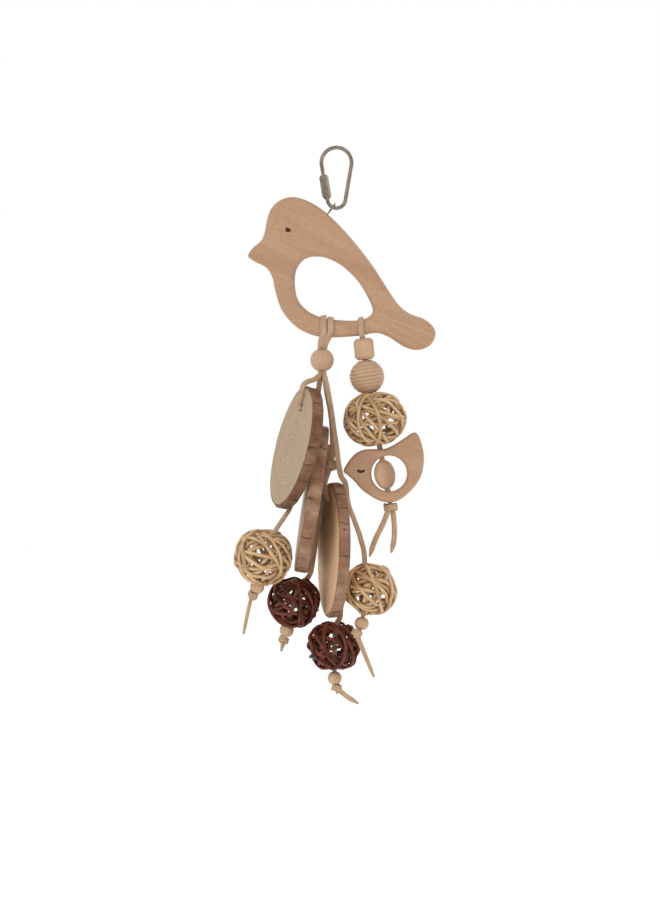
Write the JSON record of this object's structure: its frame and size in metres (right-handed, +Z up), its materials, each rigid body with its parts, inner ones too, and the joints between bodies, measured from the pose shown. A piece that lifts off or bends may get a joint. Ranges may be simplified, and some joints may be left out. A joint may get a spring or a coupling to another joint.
{
  "type": "hanging crib mobile",
  "caption": "Hanging baby mobile: a wooden bird on a quick link, with leather laces that carry wood beads, woven rattan balls, bark-edged wood slices and a small bird.",
  "frame": {"origin": "the point inside the top of the quick link where a hook or cord carries the whole mobile", "axes": "+Z up, -Y is the front that the large bird's flat face shows, +X towards the large bird's tail"},
  "size_m": [0.1129, 0.0926, 0.3194],
  "materials": {
    "steel": "satin",
    "beech": "smooth oiled beech",
    "bead_wood": "smooth raw wood",
    "slice_wood": "sawn end grain with bark edge",
    "pale_cane": "smooth peeled cane",
    "dark_cane": "stained cane",
    "suede": "matt suede",
    "dark_mark": "matt burnt mark"
  },
  "bodies": {
    "link": {"quick_link": "steel"},
    "nut": {"link_nut": "steel"},
    "bird": {"beech_bird": "beech", "bird_eyes": "dark_mark", "screw_eye": "steel", "right_loop": "suede"},
    "bundle": {"left_loop_outer": "suede", "left_loop_inner": "suede", "round_bead": "bead_wood"},
    "strand_a": {"lace_a": "suede", "stop_bead_a": "bead_wood", "knot_a": "suede"},
    "strand_b": {"lace_b": "suede", "stop_bead_b": "bead_wood", "knot_b": "suede"},
    "strand_c": {"lace_c": "suede", "stop_bead_c": "bead_wood", "knot_c": "suede", "slice_knot": "suede"},
    "strand_d": {"lace_d": "suede", "stop_bead_d": "bead_wood", "knot_d": "suede"},
    "slice_a": {"slice_a": "slice_wood"},
    "slice_b": {"slice_b": "slice_wood"},
    "slice_c": {"slice_c": "slice_wood"},
    "ball_a": {"rattan_ball_a": "pale_cane"},
    "ball_b": {"rattan_ball_b": "dark_cane"},
    "ball_c": {"rattan_ball_c": "dark_cane"},
    "ball_d": {"rattan_ball_d": "pale_cane"},
    "ball_e": {"rattan_ball_e": "pale_cane"},
    "string": {"string_lace": "suede", "end_knot": "suede", "tail_left": "suede", "tail_right": "suede"},
    "facet": {"facet_bead": "bead_wood"},
    "grooved": {"grooved_bead": "bead_wood"},
    "small_bird": {"chick": "beech", "chick_eyes": "dark_mark"},
    "coin": {"coin_bead": "bead_wood"}
  },
  "joints": [
    {"name": "nut_slide", "type": "slide", "parent": "link", "child": "nut", "axis": [-0.1683, 0, 0.9857], "range_m": [0, 0.005]},
    {"name": "bird_swing", "type": "hinge", "parent": "link", "child": "bird", "pos_m": [0, 0, -0.0283], "axis": [0, 1, 0], "range_deg": [-20, 20]},
    {"name": "bundle_swing", "type": "hinge", "parent": "bird", "child": "bundle", "pos_m": [-0.0051, 0, -0.1016], "axis": [1, 0, 0], "range_deg": [-20, 20]},
    {"name": "strand_a_swing", "type": "hinge", "parent": "bundle", "child": "strand_a", "pos_m": [-0.0093, -0.0012, -0.127], "axis": [0, 1, 0], "range_deg": [0, 25]},
    {"name": "strand_b_swing", "type": "hinge", "parent": "bundle", "child": "strand_b", "pos_m": [-0.0093, 0.0012, -0.127], "axis": [1, 0, 0], "range_deg": [0, 4.5]},
    {"name": "strand_c_swing", "type": "hinge", "parent": "bundle", "child": "strand_c", "pos_m": [-0.007, 0.0012, -0.127], "axis": [1, 0, 0], "range_deg": [0, 3]},
    {"name": "strand_d_swing", "type": "hinge", "parent": "bundle", "child": "strand_d", "pos_m": [-0.007, -0.0012, -0.127], "axis": [1, 0, 0], "range_deg": [-2, 0]},
    {"name": "slice_a_rock", "type": "hinge", "parent": "strand_a", "child": "slice_a", "pos_m": [-0.01717, -0.005, -0.14829], "axis": [0.9315, 0.2756, -0.2374], "range_deg": [-5, 5]},
    {"name": "slice_b_rock", "type": "hinge", "parent": "strand_b", "child": "slice_b", "pos_m": [-0.00962, 0.011, -0.16804], "axis": [0.9887, 0.0349, -0.146], "range_deg": [-4, 4]},
    {"name": "slice_c_rock", "type": "hinge", "parent": "strand_c", "child": "slice_c", "pos_m": [-0.00084, 0.006, -0.19941], "axis": [0.9857, 0.1668, -0.0258], "range_deg": [-4, 4]},
    {"name": "ball_a_spin", "type": "hinge", "parent": "strand_a", "child": "ball_a", "pos_m": [-0.0416, -0.008, -0.2319], "axis": [0.3024, 0, 0.9532], "continuous": true},
    {"name": "ball_b_spin", "type": "hinge", "parent": "strand_b", "child": "ball_b", "pos_m": [-0.0243, 0.011, -0.2585], "axis": [0.2807, 0, 0.9598], "continuous": true},
    {"name": "ball_c_spin", "type": "hinge", "parent": "strand_c", "child": "ball_c", "pos_m": [-0.0011, 0.006, -0.2834], "axis": [0, 0, 1], "continuous": true},
    {"name": "ball_d_spin", "type": "hinge", "parent": "strand_d", "child": "ball_d", "pos_m": [0.0155, -0.0016, -0.2506], "axis": [0.031, 0.058, 0.9978], "range_deg": [-30, 6]},
    {"name": "string_swing", "type": "hinge", "parent": "bird", "child": "string", "pos_m": [0.015, 0, -0.1074], "axis": [1, 0, 0], "range_deg": [-12, 12]},
    {"name": "facet_bead_spin", "type": "hinge", "parent": "string", "child": "facet", "pos_m": [0.0157, 0, -0.1138], "axis": [-0.1045, 0, 0.9945], "continuous": true},
    {"name": "grooved_bead_spin", "type": "hinge", "parent": "string", "child": "grooved", "pos_m": [0.0174, 0, -0.1296], "axis": [-0.1788, 0, 0.9839], "continuous": true},
    {"name": "ball_e_spin", "type": "hinge", "parent": "string", "child": "ball_e", "pos_m": [0.02175, 0, -0.15351], "axis": [-0.1788, 0, 0.9839], "continuous": true},
    {"name": "small_bird_swivel", "type": "hinge", "parent": "string", "child": "small_bird", "pos_m": [0.02752, 0, -0.18529], "axis": [-0.1788, 0, 0.9839], "range_deg": [-35, 35]},
    {"name": "coin_bead_turn", "type": "hinge", "parent": "small_bird", "child": "coin", "pos_m": [0.02752, 0, -0.18529], "axis": [-0.1788, 0, 0.9839], "range_deg": [-4, 60]}
  ]
}
